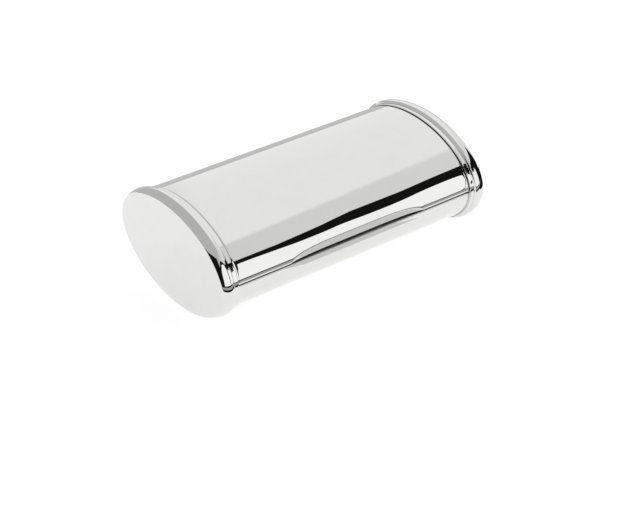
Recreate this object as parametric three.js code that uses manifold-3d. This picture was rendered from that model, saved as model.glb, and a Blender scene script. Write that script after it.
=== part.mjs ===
// Oval bread box with a roll-back lid, in polished stainless steel sheet.
//
// The box is a horizontal oval tube between two drawn end caps. The lower sheet (body_shell) makes the floor, the
// front rail and the back. The upper sheet (lid_shell) is rigid: two cheeks inside its ends carry it on pivot pins
// near the back of the oval, where the oval is almost a circle round the pins, so the back of the lid rolls down
// over the back of the body as the front swings up.
//
// Frame: millimetres, +Z up, front at -Y, +X to the right. The origin is on the table, under the middle of the box.

import * as THREE from "three";
import { mergeVertices } from "three/addons/utils/BufferGeometryUtils.js";
import Module from "manifold-3d";

const wasm = await Module();
wasm.setup();

// ---- driving dimensions ----

const LENGTH = 440; // over the flat faces of the two end caps
const LID_A = 123.5; // half depth of the lid's outer surface
const LID_B = 73.5; // half height of the lid's outer surface
const RIM_RISE = 5; // the caps' rims stand this far proud of the lid
const FOOT_CLEARANCE = 3; // from the table to the lowest point of a rim
const SHEET = 0.8; // lid and body sheet
const PLATE = 1.2; // end plates and cheeks
const CAP_SHEET = 1;
const GAP = 0.3; // between pieces that touch

const BODY_INSET = 1.6; // the body sheet lies this far inside the lid's outer surface
const RIM_WIDTH = 17.5;
const RIM_CREST = 12.5; // from a cap's face back to the widest point of its rim
const CAP_DEPTH = 25;
const COLLAR_RISE = 1.8; // the narrow collar beside the rim, above the lid's surface
const END_GAP = 0.8; // between the lid's ends and the collars

const LID_BACK_ANGLE = 24.5; // degrees on the oval, from the back tip, upwards
const LID_LIP_ANGLE = 172.5; // where the lid's front edge starts to turn in
const BODY_BACK_ANGLE = 32;
const BODY_FRONT_ANGLE = 177.5;
const LIP_Z = 6; // underside of the lid's turned-in lip, above the oval's centre line
const LEDGE_Z = 4.6; // top of the front rail's ledge
const LIP_DEG = 4.7; // the lip's underside on the oval, from its tip
const LIP_DEPTH = 14.5; // how far the lip reaches back from the lid's front
const LEDGE_DEPTH = 18;

const OPENING_DEG = 78; // the lid's travel, which the stop peg sets
const PIN_R = 4;
const STEP_DEG = 6; // facet length on the oval's arcs

// ---- sizes that follow ----

const STRETCH = LID_A - LID_B;
const RIM_B = LID_B + RIM_RISE;
const AXIS_Z = RIM_B + FOOT_CLEARANCE; // height of the oval's centre line
const FACE_X = LENGTH / 2;
const COLLAR_X = FACE_X - CAP_DEPTH; // the collar's inner edge
const LID_END_X = COLLAR_X - END_GAP;
const SHELL_END_X = COLLAR_X + 5;
const PLATE_X = SHELL_END_X + GAP; // inner face of the end plate
const PLATE_BACK_X = PLATE_X + PLATE;
const CHEEK_X = LID_END_X - 4.9; // inner face of a cheek
const PIVOT_Y = LID_A - LID_B ** 2 / LID_A; // centre of curvature of the oval's back tip
const CAP_SCREW_YZ = [
  [86, 34],
  [86, -34],
  [-86, 34],
  [-86, -34],
];

// ---- materials ----

const steel = (name, color, roughness) =>
  new THREE.MeshStandardMaterial({ name, color, roughness, metalness: 1 });
const moulded = (name, color, roughness) =>
  new THREE.MeshStandardMaterial({ name, color, roughness, metalness: 0 });
const MIRROR_STEEL = steel("mirror_steel", 0xdedede, 0.05);
const SATIN_STEEL = steel("satin_steel", 0xc4c4c2, 0.35);
const PLATED_STEEL = steel("plated_steel", 0xb9bcc0, 0.25);
const NYLON = moulded("nylon", 0xe9e6dc, 0.5);
const RUBBER = moulded("rubber", 0x262626, 0.8);

// ---- geometry helpers ----

const rad = THREE.MathUtils.degToRad;

// A point of the oval that lies `inset` inside the lid's outer surface, in the section's (y, z).
const ovalPoint = (inset, degrees) =>
  new THREE.Vector2(
    (LID_A - inset) * Math.cos(rad(degrees)),
    (LID_B - inset) * Math.sin(rad(degrees)),
  );

// Points along that oval from one angle to another, both included.
function ovalArc(inset, from, to) {
  const steps = Math.max(1, Math.round(Math.abs(to - from) / STEP_DEG));
  return Array.from({ length: steps + 1 }, (_, i) =>
    ovalPoint(inset, from + ((to - from) * i) / steps),
  );
}

// Points along a circular arc.
function circleArc(y, z, radius, from, to, steps) {
  return Array.from({ length: steps + 1 }, (_, i) => {
    const angle = rad(from + ((to - from) * i) / steps);
    return new THREE.Vector2(y + radius * Math.cos(angle), z + radius * Math.sin(angle));
  });
}

// Turns a shape drawn in (y, z) into a solid from x = from to x = to.
const ALONG_X = new THREE.Matrix4().makeBasis(
  new THREE.Vector3(0, 1, 0),
  new THREE.Vector3(0, 0, 1),
  new THREE.Vector3(1, 0, 0),
);
function alongX(shape, from, to) {
  return new THREE.ExtrudeGeometry(shape, { depth: to - from, bevelEnabled: false })
    .applyMatrix4(ALONG_X)
    .translate(from, 0, 0);
}

const disc = (y, z, radius, sides) => new THREE.Path(circleArc(y, z, radius, 0, 360, sides).slice(1));
const fullOval = (inset) => ovalArc(inset, 0, 360).slice(1);

// A round piece on an axis along X: the profile is a list of [radius, x], from the axis to the axis or closed.
function turned(profile, sides = 16) {
  const points = profile.map(([radius, x]) => new THREE.Vector2(radius, x));
  return new THREE.LatheGeometry(points, sides).rotateZ(-Math.PI / 2);
}

// The same for an oval piece: radii are measured to the oval's top, and its width grows with them. On the cap's
// flat face, the oval shrinks evenly to its centre from the radius `flat`.
function ovalTurned(profile, flat, sides = 60) {
  const points = profile.map(([radius, x]) => new THREE.Vector2(radius, x));
  const geometry = new THREE.LatheGeometry(points, sides);
  const place = geometry.attributes.position;
  for (let i = 0; i < place.count; i++) {
    const z = place.getX(i);
    const x = place.getY(i);
    const y = place.getZ(i);
    const radius = Math.max(Math.hypot(y, z), 1e-9);
    const shrink = x > FACE_X - CAP_SHEET - GAP ? Math.min(1, radius / flat) : 1;
    place.setXYZ(i, x, y * (1 + (STRETCH * shrink) / radius), z);
  }
  return geometry;
}

function solid(geometry) {
  const bare = geometry.clone();
  bare.deleteAttribute("normal");
  bare.deleteAttribute("uv");
  const merged = mergeVertices(bare, 1e-4);
  return new wasm.Manifold(
    new wasm.Mesh({
      numProp: 3,
      vertProperties: new Float32Array(merged.attributes.position.array),
      triVerts: new Uint32Array(merged.index.array),
    }),
  );
}

function geometryOf(made) {
  const mesh = made.getMesh();
  const geometry = new THREE.BufferGeometry();
  geometry.setAttribute("position", new THREE.BufferAttribute(mesh.vertProperties, 3));
  geometry.setIndex(new THREE.BufferAttribute(mesh.triVerts, 1));
  geometry.computeVertexNormals();
  return geometry;
}

function piece(name, geometry, material) {
  const mesh = new THREE.Mesh(geometry, material);
  mesh.name = name;
  return mesh;
}

// ---- the lid ----

const GRIP_LENGTH = 224; // finger recess: the middle of the lid's front margin is pressed in
const GRIP_END = 70; // length of its rounded ends
const GRIP_TOP_Z = 19.5; // where the recess meets the oval
const GRIP_DEPTH = 5.2; // how far its wall comes forward again along an end
const GRIP_LEAN_DEG = 3; // its wall leans in a little towards the lip, to give the fingertips a hold

// The front edge turns in under a round corner and runs back as a lip.
function lidSection() {
  const front = ovalPoint(0, LID_LIP_ANGLE);
  const corner = 3;
  const y = front.x + 0.15 + corner;
  const z = LIP_Z + corner;
  return new THREE.Shape([
    ...ovalArc(0, LID_BACK_ANGLE, LID_LIP_ANGLE),
    ...circleArc(y, z, corner, 180, 270, 4),
    new THREE.Vector2(-LID_A + LIP_DEPTH, LIP_Z),
    new THREE.Vector2(-LID_A + LIP_DEPTH, LIP_Z + SHEET),
    ...circleArc(y, z, corner - SHEET, 270, 180, 4),
    ...ovalArc(SHEET, LID_LIP_ANGLE, LID_BACK_ANGLE),
  ]);
}

// What the recess takes away, `inset` deeper than its wall: a long shape with rounded ends, seen from above,
// whose wall leans with height.
function gripTool(inset) {
  const wall = -LID_A * Math.sqrt(1 - (GRIP_TOP_Z / LID_B) ** 2) + inset;
  const mouth = -LID_A - 20;
  const endX = GRIP_LENGTH / 2 + inset;
  const ends = [1, -1].map((side) =>
    Array.from({ length: 9 }, (_, i) => {
      const angle = (i / 8) * (Math.PI / 2);
      const x = side * (endX - GRIP_END * (1 - Math.sin(angle)));
      return new THREE.Vector2(x, wall - GRIP_DEPTH * (1 - Math.cos(angle)));
    }),
  );
  const plan = new THREE.Shape([
    ...ends[0],
    new THREE.Vector2(endX, mouth),
    new THREE.Vector2(-endX, mouth),
    ...ends[1].reverse(),
  ]);
  const height = GRIP_TOP_Z + 10 - (LIP_Z - 3);
  const lean = -Math.tan(rad(GRIP_LEAN_DEG));
  return solid(
    new THREE.ExtrudeGeometry(plan, { depth: height, bevelEnabled: false })
      .translate(0, 0, LIP_Z - 3 - GRIP_TOP_Z)
      .applyMatrix4(new THREE.Matrix4().makeShear(0, 0, 0, 0, 0, lean))
      .translate(0, 0, GRIP_TOP_Z),
  );
}

function lidShell() {
  const sheet = solid(alongX(lidSection(), -LID_END_X, LID_END_X));
  const inside = solid(alongX(new THREE.Shape(ovalArc(0.05, LIP_DEG, 180 - LIP_DEG)), -LID_END_X, LID_END_X));
  const wall = gripTool(SHEET).intersect(inside);
  return geometryOf(sheet.add(wall).subtract(gripTool(0)));
}

const CHEEK_INSET = SHEET + GAP;
const CHEEK_BACK_ANGLE = 108;
const CHEEK_FRONT_ANGLE = 168;
const CHEEK_BOSS_R = 13;
const BUSH_R = 6;

// A flat blade from the pin to the front half of the lid, with a flange that is spot-welded under the sheet.
function lidCheek() {
  const blade = new THREE.Shape([
    ...ovalArc(CHEEK_INSET, CHEEK_BACK_ANGLE, CHEEK_FRONT_ANGLE),
    ...circleArc(PIVOT_Y, 0, CHEEK_BOSS_R, 262, 470, 14),
  ]);
  blade.holes.push(disc(PIVOT_Y, 0, BUSH_R + GAP, 16));
  const flange = new THREE.Shape([
    ...ovalArc(CHEEK_INSET, CHEEK_BACK_ANGLE, CHEEK_FRONT_ANGLE),
    ...ovalArc(CHEEK_INSET + 1, CHEEK_FRONT_ANGLE, CHEEK_BACK_ANGLE),
  ]);
  const flangeEnd = CHEEK_X - 8.6;
  return geometryOf(
    solid(alongX(blade, CHEEK_X, CHEEK_X + PLATE)).add(
      solid(alongX(flange, flangeEnd, CHEEK_X + PLATE / 2)),
    ),
  );
}

// ---- the body ----

const VENT_R = 2.5;
const VENT_PITCH = 16;
const VENT_COUNT = 8;

// Floor, back and front rail in one sheet. The rail ends in a ledge that the lid's lip closes down to.
function bodySection() {
  const corner = 1.6;
  const front = ovalPoint(BODY_INSET, BODY_FRONT_ANGLE);
  const y = front.x + 0.1 + corner;
  const z = LEDGE_Z - corner;
  return new THREE.Shape([
    new THREE.Vector2(-LID_A + LEDGE_DEPTH, LEDGE_Z),
    ...circleArc(y, z, corner, 90, 180, 3),
    ...ovalArc(BODY_INSET, BODY_FRONT_ANGLE + 2, 360 + BODY_BACK_ANGLE),
    ...ovalArc(BODY_INSET + SHEET, 360 + BODY_BACK_ANGLE, BODY_FRONT_ANGLE + 2),
    ...circleArc(y, z, corner - SHEET, 180, 90, 3),
    new THREE.Vector2(-LID_A + LEDGE_DEPTH, LEDGE_Z - SHEET),
  ]);
}

function bodyShell() {
  let sheet = solid(alongX(bodySection(), -SHELL_END_X, SHELL_END_X));
  for (const side of [-1, 1]) {
    const notch = new THREE.BoxGeometry(12, 40, 12);
    notch.translate(side * (COLLAR_X - 1 + 6), -LID_A + BODY_INSET + SHEET + 20, LEDGE_Z);
    sheet = sheet.subtract(solid(notch));
  }
  for (let i = 0; i < VENT_COUNT; i++) {
    const vent = new THREE.CylinderGeometry(VENT_R, VENT_R, 20, 10);
    vent.translate((i - (VENT_COUNT - 1) / 2) * VENT_PITCH, LID_A, 0);
    sheet = sheet.subtract(solid(vent));
  }
  for (const { x, y, normal } of footPlaces()) {
    const hole = new THREE.CylinderGeometry(FOOT_SCREW_R + GAP, FOOT_SCREW_R + GAP, 20, 10);
    hole.rotateX(Math.PI / 2 + normal).translate(x, y, footZ(y));
    sheet = sheet.subtract(solid(hole));
  }
  return geometryOf(sheet);
}

// ---- the end caps and plates ----

// Drawn cap: flat face, small edge radius, bulged rim, step and collar, with four screw bosses inside the face.
function endCap() {
  const bulge = (x) => RIM_B - 2.4 * ((x - (FACE_X - RIM_CREST)) / 9) ** 2; // radius of the rim's outer surface
  const rim = [1.6, 4.8, 8.5, RIM_CREST, RIM_WIDTH - 0.3].map((depth) => FACE_X - depth);
  const collar = LID_B + COLLAR_RISE;
  const collarInner = LID_B - BODY_INSET + GAP;
  const face = bulge(rim[0]) - 1.7;
  const outer = [
    [0, FACE_X],
    [face, FACE_X],
    [face + 1.2, FACE_X - 0.5],
    ...rim.map((x) => [bulge(x), x]),
    [collar, FACE_X - RIM_WIDTH - 0.7],
    [collar, COLLAR_X + 0.5],
    [collar - 0.5, COLLAR_X],
  ];
  const inner = [
    [collarInner, COLLAR_X],
    [collarInner, FACE_X - RIM_WIDTH + 0.9],
    ...rim
      .filter((x) => x > FACE_X - RIM_WIDTH + 1 && x < FACE_X - 2)
      .reverse()
      .map((x) => [bulge(x) - CAP_SHEET, x]),
    [face - 0.2, FACE_X - CAP_SHEET],
    [0, FACE_X - CAP_SHEET],
  ];
  let cap = solid(ovalTurned([...outer, ...inner].reverse(), face));
  for (const [y, z] of CAP_SCREW_YZ) {
    const boss = turned([
      [0, PLATE_BACK_X + 11],
      [2, PLATE_BACK_X + 11],
      [2, PLATE_BACK_X + GAP],
      [4.5, PLATE_BACK_X + GAP],
      [4.5, FACE_X - CAP_SHEET / 2],
      [0, FACE_X - CAP_SHEET / 2],
    ], 12).translate(0, y, z);
    cap = cap.add(solid(boss));
  }
  return geometryOf(cap);
}

const STOP_R = 4;
const STOP_STEM_R = 2;

// Centre of the stop peg, which the cheek's back edge meets when the lid is fully open.
function stopPlace() {
  const corner = new THREE.Vector2(PIVOT_Y, 0).add(
    new THREE.Vector2(CHEEK_BOSS_R, 0).rotateAround(new THREE.Vector2(), rad(110)),
  );
  const edge = ovalPoint(CHEEK_INSET, CHEEK_BACK_ANGLE).sub(corner);
  const opened = new THREE.Vector2().copy(edge).normalize();
  opened.rotateAround(new THREE.Vector2(), -rad(OPENING_DEG));
  const outward = new THREE.Vector2(opened.y, -opened.x);
  const offset = corner.sub(new THREE.Vector2(PIVOT_Y, 0));
  offset.rotateAround(new THREE.Vector2(), -rad(OPENING_DEG));
  return new THREE.Vector2(PIVOT_Y, 0)
    .add(offset)
    .addScaledVector(opened, 22)
    .addScaledVector(outward, STOP_R + 0.4);
}

// Pressed plate that closes the bread space, with a short flange inside the body sheet.
function endPlate() {
  const face = new THREE.Shape(fullOval(BODY_INSET));
  face.holes.push(disc(PIVOT_Y, 0, PIN_R + GAP, 16));
  const stop = stopPlace();
  face.holes.push(disc(stop.x, stop.y, STOP_STEM_R + GAP, 10));
  CAP_SCREW_YZ.forEach(([y, z]) => face.holes.push(disc(y, z, CAP_SCREW_R + 0.6, 10)));
  const flangeInset = BODY_INSET + SHEET + GAP;
  const flange = new THREE.Shape(fullOval(flangeInset));
  flange.holes.push(new THREE.Path(fullOval(flangeInset + 1)));
  return geometryOf(
    solid(alongX(face, PLATE_X, PLATE_BACK_X)).add(
      solid(alongX(flange, COLLAR_X - 0.7, PLATE_X + PLATE / 2)),
    ),
  );
}

const CAP_SCREW_R = 1.7;

// Pan-head screw from inside the box into a cap's boss.
const capScrew = ([y, z]) =>
  turned([
    [0, PLATE_X - GAP - 2.4],
    [2.4, PLATE_X - GAP - 2.2],
    [3.4, PLATE_X - GAP - 1.2],
    [3.6, PLATE_X - GAP],
    [CAP_SCREW_R, PLATE_X - GAP],
    [CAP_SCREW_R, PLATE_BACK_X + 9],
    [0, PLATE_BACK_X + 10],
  ], 10).translate(0, y, z);

// ---- the pivots ----

const SPACER_X = CHEEK_X + PLATE + 0.8;
const BUSH_END_X = SPACER_X - GAP;
const BUSH_FLANGE_X = CHEEK_X - 1.6;
const WASHER_X = BUSH_FLANGE_X - GAP - 1.2;
const NUT_X = WASHER_X - GAP; // the nut's face against the washer
const PIN_END_X = NUT_X - 3.4;

const pivotPin = () =>
  turned([
    [0, PIN_END_X],
    [PIN_R - 0.6, PIN_END_X],
    [PIN_R, PIN_END_X + 0.6],
    [PIN_R, PLATE_BACK_X + GAP],
    [7, PLATE_BACK_X + GAP],
    [7, PLATE_BACK_X + GAP + 1.4],
    [5.5, PLATE_BACK_X + GAP + 2.2],
    [0, PLATE_BACK_X + GAP + 2.2],
  ]);

function ring(inner, outer, from, to) {
  const shape = new THREE.Shape(circleArc(0, 0, outer, 0, 360, 16).slice(1));
  shape.holes.push(disc(0, 0, inner, 16));
  return alongX(shape, from, to);
}

// Flanged nylon bush in the cheek, turning on the pin.
const pivotBush = () =>
  geometryOf(
    solid(ring(PIN_R + 0.2, BUSH_R, BUSH_FLANGE_X, BUSH_END_X)).add(
      solid(ring(PIN_R + 0.2, 9, BUSH_FLANGE_X, CHEEK_X - GAP)),
    ),
  );

// Dome nut on the pin's inner end.
function pivotNut() {
  const hex = new THREE.CylinderGeometry(7, 7, 4.6, 6).rotateZ(Math.PI / 2).translate(NUT_X - 2.3, 0, 0);
  const dome = turned([
    [0, NUT_X - 8.2],
    [2.6, NUT_X - 7.6],
    [4.6, NUT_X - 6],
    [5.4, NUT_X - 4.2],
    [0, NUT_X - 4.2],
  ]);
  const bore = new THREE.CylinderGeometry(PIN_R + 0.2, PIN_R + 0.2, 8, 16);
  bore.rotateZ(Math.PI / 2).translate(NUT_X, 0, 0);
  return geometryOf(solid(hex).add(solid(dome)).subtract(solid(bore)));
}

function openStop() {
  const { x: y, y: z } = stopPlace();
  return turned([
    [0, CHEEK_X - 1],
    [STOP_R - 1, CHEEK_X - 1],
    [STOP_R, CHEEK_X],
    [STOP_R, PLATE_X - GAP],
    [STOP_STEM_R, PLATE_X - GAP],
    [STOP_STEM_R, PLATE_BACK_X + 1.5],
    [0, PLATE_BACK_X + 1.5],
  ]).translate(0, y, z);
}

// ---- feet and bumpers ----

const FOOT_X = 150;
const FOOT_Y = 40;
const FOOT_SCREW_R = 1.7;

const footZ = (y) => -(LID_B - BODY_INSET) * Math.sqrt(1 - (y / (LID_A - BODY_INSET)) ** 2);

// The four places, each with the lean of the sheet's normal there, about X.
function footPlaces() {
  return [
    ["front_left", -1, -1],
    ["front_right", 1, -1],
    ["back_left", -1, 1],
    ["back_right", 1, 1],
  ].map(([where, sideX, sideY]) => {
    const y = sideY * FOOT_Y;
    const slope = -(((LID_B - BODY_INSET) / (LID_A - BODY_INSET)) ** 2) * (y / footZ(y));
    return { where, x: sideX * FOOT_X, y, normal: Math.atan(slope) };
  });
}

// Moulded rubber foot, cut to the curve of the body's floor, with a blind hole for its screw.
function foot({ x, y, normal }) {
  const post = new THREE.LatheGeometry(
    [
      [0, -AXIS_Z],
      [8, -AXIS_Z],
      [9, -AXIS_Z + 1],
      [11, -AXIS_Z + 22],
      [0, -AXIS_Z + 22],
    ].map(([radius, height]) => new THREE.Vector2(radius, height)),
    20,
  );
  post.rotateX(Math.PI / 2).translate(x, y, 0);
  const floor = alongX(new THREE.Shape(fullOval(BODY_INSET - GAP)), -SHELL_END_X, SHELL_END_X);
  const hole = new THREE.CylinderGeometry(FOOT_SCREW_R + 0.1, FOOT_SCREW_R + 0.1, 22, 10);
  hole.rotateX(Math.PI / 2 + normal).translate(x, y, footZ(y));
  return geometryOf(solid(post).subtract(solid(floor)).subtract(solid(hole)));
}

// Pan-head screw through the floor into a foot. It points down the sheet's normal.
function footScrew({ x, y, normal }) {
  const headZ = SHEET + GAP;
  const screw = new THREE.LatheGeometry(
    [
      [0, headZ - 10],
      [FOOT_SCREW_R, headZ - 9.4],
      [FOOT_SCREW_R, headZ],
      [3.6, headZ],
      [3.3, headZ + 1.3],
      [2.2, headZ + 2],
      [0, headZ + 2.1],
    ].map(([radius, height]) => new THREE.Vector2(radius, height)),
    10,
  );
  return screw.rotateX(Math.PI / 2 + normal).translate(x, y, footZ(y));
}

const bumper = (x) =>
  new THREE.CylinderGeometry(3.4, 3.6, 0.8, 16)
    .rotateX(Math.PI / 2)
    .translate(x, -LID_A + 7.5, LEDGE_Z + GAP + 0.4);

// ---- assembly ----

const breadBox = new THREE.Group();
const oval = new THREE.Group(); // pieces placed from the oval's centre line
oval.position.z = AXIS_Z;
breadBox.add(oval);

oval.add(piece("lid_shell", lidShell(), MIRROR_STEEL));
oval.add(piece("body_shell", bodyShell(), MIRROR_STEEL));

for (const [side, sign] of [
  ["left", -1],
  ["right", 1],
]) {
  const end = new THREE.Group(); // one end of the box; the left one is the right one mirrored
  end.scale.x = sign;
  const pivot = new THREE.Group();
  pivot.position.y = PIVOT_Y;
  end.add(pivot);
  end.add(piece(`${side}_end_cap`, endCap(), MIRROR_STEEL));
  end.add(piece(`${side}_end_plate`, endPlate(), SATIN_STEEL));
  end.add(piece(`${side}_lid_cheek`, lidCheek(), SATIN_STEEL));
  end.add(piece(`${side}_open_stop`, openStop(), RUBBER));
  CAP_SCREW_YZ.forEach((place, i) =>
    end.add(piece(`${side}_cap_screw_${i + 1}`, capScrew(place), PLATED_STEEL)),
  );
  pivot.add(piece(`${side}_pivot_pin`, pivotPin(), PLATED_STEEL));
  pivot.add(piece(`${side}_pivot_spacer`, ring(PIN_R + GAP, 8, SPACER_X, PLATE_X - GAP), NYLON));
  pivot.add(piece(`${side}_pivot_bush`, pivotBush(), NYLON));
  pivot.add(piece(`${side}_pivot_washer`, ring(PIN_R + GAP, 9, WASHER_X, WASHER_X + 1.2), PLATED_STEEL));
  pivot.add(piece(`${side}_pivot_nut`, pivotNut(), PLATED_STEEL));
  oval.add(end);
  oval.add(piece(`${side}_front_bumper`, bumper(sign * 150), RUBBER));
}

for (const place of footPlaces()) {
  oval.add(piece(`${place.where}_foot`, foot(place), RUBBER));
  oval.add(piece(`${place.where}_foot_screw`, footScrew(place), PLATED_STEEL));
}

export default breadBox;
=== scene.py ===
"""Oval bread box with a roll-back lid, in mirror-polished steel sheet, in a pale studio.

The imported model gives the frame: its bodies, its hinge and the box round each node. The curved sheet
pieces, which have to reflect without facets, are made here again as fine smooth sheets, and so are the round
small parts.
Lengths are in metres and the frame is the model's own: +Z up, the front at -Y, +X to the right.
"""

import logging
import math
from collections.abc import Sequence
from dataclasses import dataclass, field
from enum import Enum

import bmesh
import bpy
from mathutils import Matrix, Vector


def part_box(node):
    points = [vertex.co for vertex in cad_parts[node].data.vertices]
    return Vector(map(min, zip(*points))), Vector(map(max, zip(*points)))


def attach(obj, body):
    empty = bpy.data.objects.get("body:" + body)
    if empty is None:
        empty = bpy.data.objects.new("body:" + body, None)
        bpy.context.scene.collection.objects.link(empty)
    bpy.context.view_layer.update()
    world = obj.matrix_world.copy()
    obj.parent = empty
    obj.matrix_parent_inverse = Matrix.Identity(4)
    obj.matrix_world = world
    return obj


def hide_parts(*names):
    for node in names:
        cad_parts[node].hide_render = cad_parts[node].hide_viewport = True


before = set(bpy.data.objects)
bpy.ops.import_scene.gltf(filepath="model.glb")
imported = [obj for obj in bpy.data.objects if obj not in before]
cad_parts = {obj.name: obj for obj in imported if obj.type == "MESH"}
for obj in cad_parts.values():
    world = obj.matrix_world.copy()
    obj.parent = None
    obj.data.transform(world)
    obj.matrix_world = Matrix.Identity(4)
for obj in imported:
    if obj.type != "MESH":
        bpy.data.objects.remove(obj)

log = logging.getLogger("bread_box")

MM = 0.001
Pair = tuple[float, float]


# ---- small helpers -------------------------------------------------------------------------------


def linear(hex_colour: str) -> tuple[float, float, float, float]:
    """Turn an sRGB hex colour into linear RGBA.

    Args:
        hex_colour: Six hex digits, such as "c8c8c6".

    Returns:
        Linear red, green and blue, with an alpha of 1.
    """
    channels = [int(hex_colour[i : i + 2], 16) / 255 for i in (0, 2, 4)]
    red, green, blue = (c / 12.92 if c <= 0.04045 else ((c + 0.055) / 1.055) ** 2.4 for c in channels)
    return red, green, blue, 1.0


def add_node(
    tree: bpy.types.NodeTree, kind: str, links: dict | None = None, **settings: object
) -> bpy.types.Node:
    """Add a node to a tree, with its settings and links.

    Args:
        tree: The node tree.
        kind: The node's type, such as "ShaderNodeMath".
        links: Input name or index to an output socket, or to a plain value for that input.
        settings: Attributes to set on the node before its inputs.

    Returns:
        The new node.
    """
    node = tree.nodes.new(kind)
    for name, value in settings.items():
        setattr(node, name, value)
    for key, value in (links or {}).items():
        if isinstance(value, bpy.types.NodeSocket):
            tree.links.new(value, node.inputs[key])
        else:
            node.inputs[key].default_value = value
    return node


def spread(
    tree: bpy.types.NodeTree,
    value: bpy.types.NodeSocket,
    onto: Pair,
    start: Pair = (0.0, 1.0),
    **settings: object,
) -> bpy.types.NodeSocket:
    """Spread a value's range onto another range.

    Args:
        tree: The node tree.
        value: The value's socket.
        onto: The new range.
        start: The range that the value has.
        settings: Attributes of the node.

    Returns:
        The new value's socket.
    """
    inputs = {"Value": value, "From Min": start[0], "From Max": start[1]}
    inputs |= {"To Min": onto[0], "To Max": onto[1]}
    return add_node(tree, "ShaderNodeMapRange", inputs, **settings).outputs[0]


def new_bmesh_object(bm: bmesh.types.BMesh, name: str, smooth: bool = True) -> bpy.types.Object:
    """Make an object of a bmesh, at the origin, and free the bmesh.

    Args:
        bm: The finished bmesh, in the model's frame.
        name: The object's name.
        smooth: Whether its faces are shaded smooth.

    Returns:
        The object, linked to the scene.
    """
    for face in bm.faces:
        face.smooth = smooth
    mesh = bpy.data.meshes.new(name)
    bm.to_mesh(mesh)
    bm.free()
    made = bpy.data.objects.new(name, mesh)
    bpy.context.scene.collection.objects.link(made)
    return made


def chain(bm: bmesh.types.BMesh, points: Sequence[Sequence[float]], closed: bool = False) -> list:
    """Add points joined in a row.

    Args:
        bm: The bmesh to add to.
        points: Places in three dimensions.
        closed: Whether the last point joins the first.

    Returns:
        The new edges.
    """
    verts = [bm.verts.new(point) for point in points]
    pairs = list(zip(verts, verts[1:]))
    if closed:
        pairs.append((verts[-1], verts[0]))
    return [bm.edges.new(pair) for pair in pairs]


def verts_in(made: Sequence) -> list[bmesh.types.BMVert]:
    """The vertices among what an operator made."""
    return [item for item in made if isinstance(item, bmesh.types.BMVert)]


def edges_between(made: Sequence, verts: Sequence[bmesh.types.BMVert]) -> list[bmesh.types.BMEdge]:
    """The edges among what an operator made that join two vertices of a list.

    Args:
        made: What the operator made.
        verts: The vertices.

    Returns:
        The edges.
    """
    ends = set(verts)
    edges = [item for item in made if isinstance(item, bmesh.types.BMEdge)]
    return [edge for edge in edges if ends.issuperset(edge.verts)]


def sweep(bm: bmesh.types.BMesh, profile: Sequence[Pair], stations: Sequence[float]) -> None:
    """Sweep a profile drawn in (y, z) along X.

    Args:
        bm: The bmesh to add to.
        profile: The section's points.
        stations: The x of each row, in order.
    """
    edges = chain(bm, [(stations[0], y, z) for y, z in profile])
    for here, there in zip(stations, stations[1:]):
        made = bmesh.ops.extrude_edge_only(bm, edges=edges)["geom"]
        verts = verts_in(made)
        bmesh.ops.translate(bm, verts=verts, vec=(there - here, 0, 0))
        edges = edges_between(made, verts)


def push_faces(bm: bmesh.types.BMesh, distance: float) -> None:
    """Make a solid of a bmesh's flat faces by pushing them along X."""
    made = bmesh.ops.extrude_face_region(bm, geom=list(bm.faces))["geom"]
    bmesh.ops.translate(bm, verts=verts_in(made), vec=(distance, 0, 0))


def spin_about_x(
    bm: bmesh.types.BMesh, profile: Sequence[Pair], steps: int, y: float = 0, z: float = 0
) -> None:
    """Spin a profile of (radius, x) about the line along X through (y, z), and close its poles.

    Args:
        bm: The bmesh to add to.
        profile: The points, each a radius and an x.
        steps: Steps in the full turn.
        y: The line's y.
        z: The line's z.
    """
    before = set(bm.verts)
    edges = chain(bm, [(x, 0, radius) for radius, x in profile])
    verts = list({vert for edge in edges for vert in edge.verts})
    bmesh.ops.spin(
        bm, geom=verts + edges, cent=(0, 0, 0), axis=(1, 0, 0), angle=math.tau, steps=steps, use_merge=True
    )
    fresh = [vert for vert in bm.verts if vert not in before]
    bmesh.ops.remove_doubles(bm, verts=fresh, dist=1e-6)
    fresh = [vert for vert in bm.verts if vert not in before]
    bmesh.ops.translate(bm, verts=fresh, vec=(0, y, z))


def spin_upright(bm: bmesh.types.BMesh, profile: Sequence[Pair], steps: int, foot: Sequence[float]) -> None:
    """Spin a profile of (radius, height) about the upright line through its foot, in an empty bmesh.

    Args:
        bm: The bmesh.
        profile: The points, each a radius and a height.
        steps: Steps in the full turn.
        foot: Where the height is zero.
    """
    spin_about_x(bm, profile, steps)
    turn = Matrix.Rotation(-math.pi / 2, 3, "Y")
    bmesh.ops.rotate(bm, verts=list(bm.verts), cent=(0, 0, 0), matrix=turn)
    bmesh.ops.translate(bm, verts=list(bm.verts), vec=foot)


def face_outwards(bm: bmesh.types.BMesh) -> None:
    """Point every face of closed shapes outwards."""
    bmesh.ops.recalc_face_normals(bm, faces=list(bm.faces))


def add_solid(bm: bmesh.types.BMesh, part: bmesh.types.BMesh) -> None:
    """Move a closed shape from its own bmesh into another.

    Args:
        bm: The bmesh to add to.
        part: The shape's bmesh, which is freed.
    """
    face_outwards(part)
    holder = bpy.data.meshes.new("part")
    part.to_mesh(holder)
    part.free()
    bm.from_mesh(holder)
    bpy.data.meshes.remove(holder)


def arc(centre: Pair, radius: float, start: float, end: float, steps: int) -> list[Pair]:
    """Points along a circular arc.

    Args:
        centre: The circle's centre.
        radius: The circle's radius.
        start: The first point's angle, in degrees.
        end: The last point's angle, in degrees.
        steps: Segments in the arc.

    Returns:
        The points, both ends included.
    """
    angles = [math.radians(start + (end - start) * i / steps) for i in range(steps + 1)]
    return [(centre[0] + radius * math.cos(a), centre[1] + radius * math.sin(a)) for a in angles]


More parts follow.
